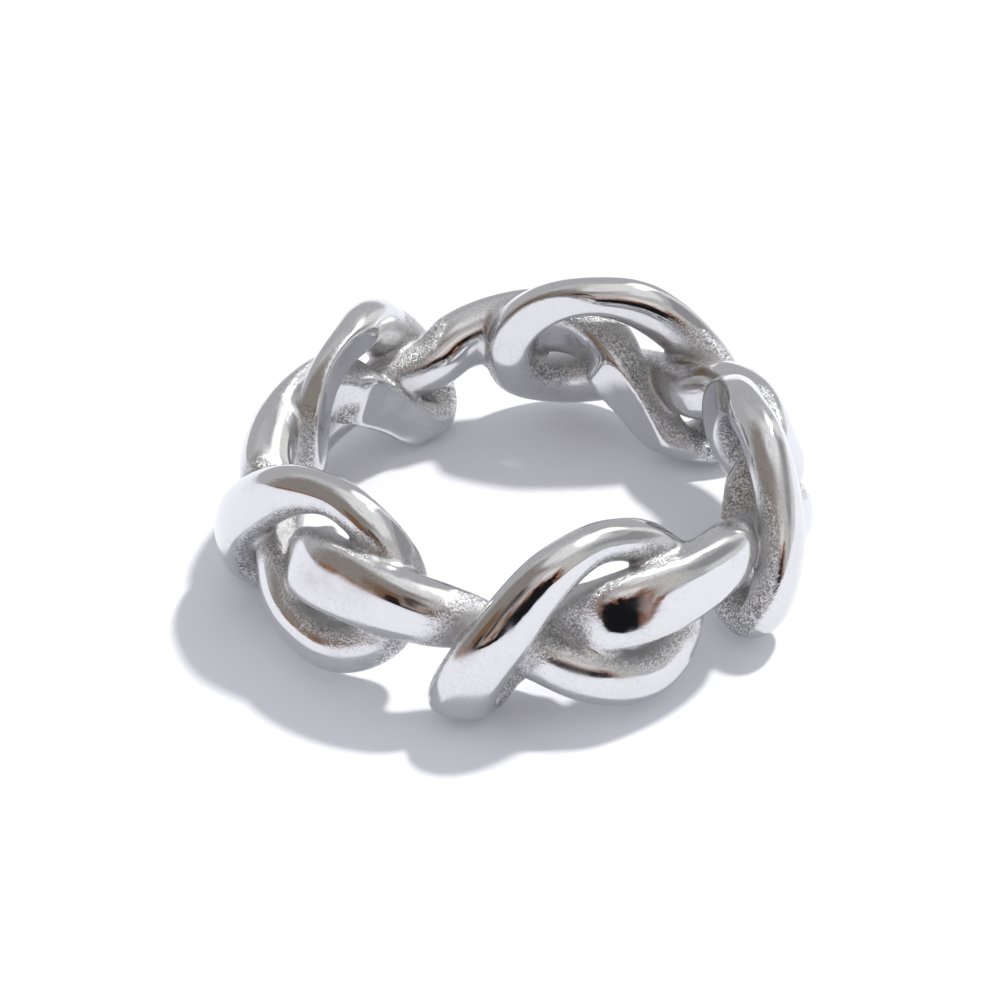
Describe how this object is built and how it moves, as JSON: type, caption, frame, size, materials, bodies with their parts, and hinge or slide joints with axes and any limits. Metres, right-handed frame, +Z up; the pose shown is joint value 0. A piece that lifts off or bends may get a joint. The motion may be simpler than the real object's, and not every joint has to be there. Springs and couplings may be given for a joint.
{
  "type": "knotted chain link ring",
  "caption": "One-piece cast metal finger ring shaped like a band of over-and-under knots of one round-edged strand, with a plain round finger hole.",
  "frame": {"origin": "on the axis of the finger hole, at the floor that the ring lies on", "axes": "+Z up along the axis of the finger hole, +X to the right of the picture, +Y away from the camera"},
  "size_m": [0.0251, 0.0247, 0.0083],
  "materials": {
    "polished_metal": "polished"
  },
  "bodies": {
    "root": {"knotted_band": "polished_metal"}
  },
  "joints": []
}
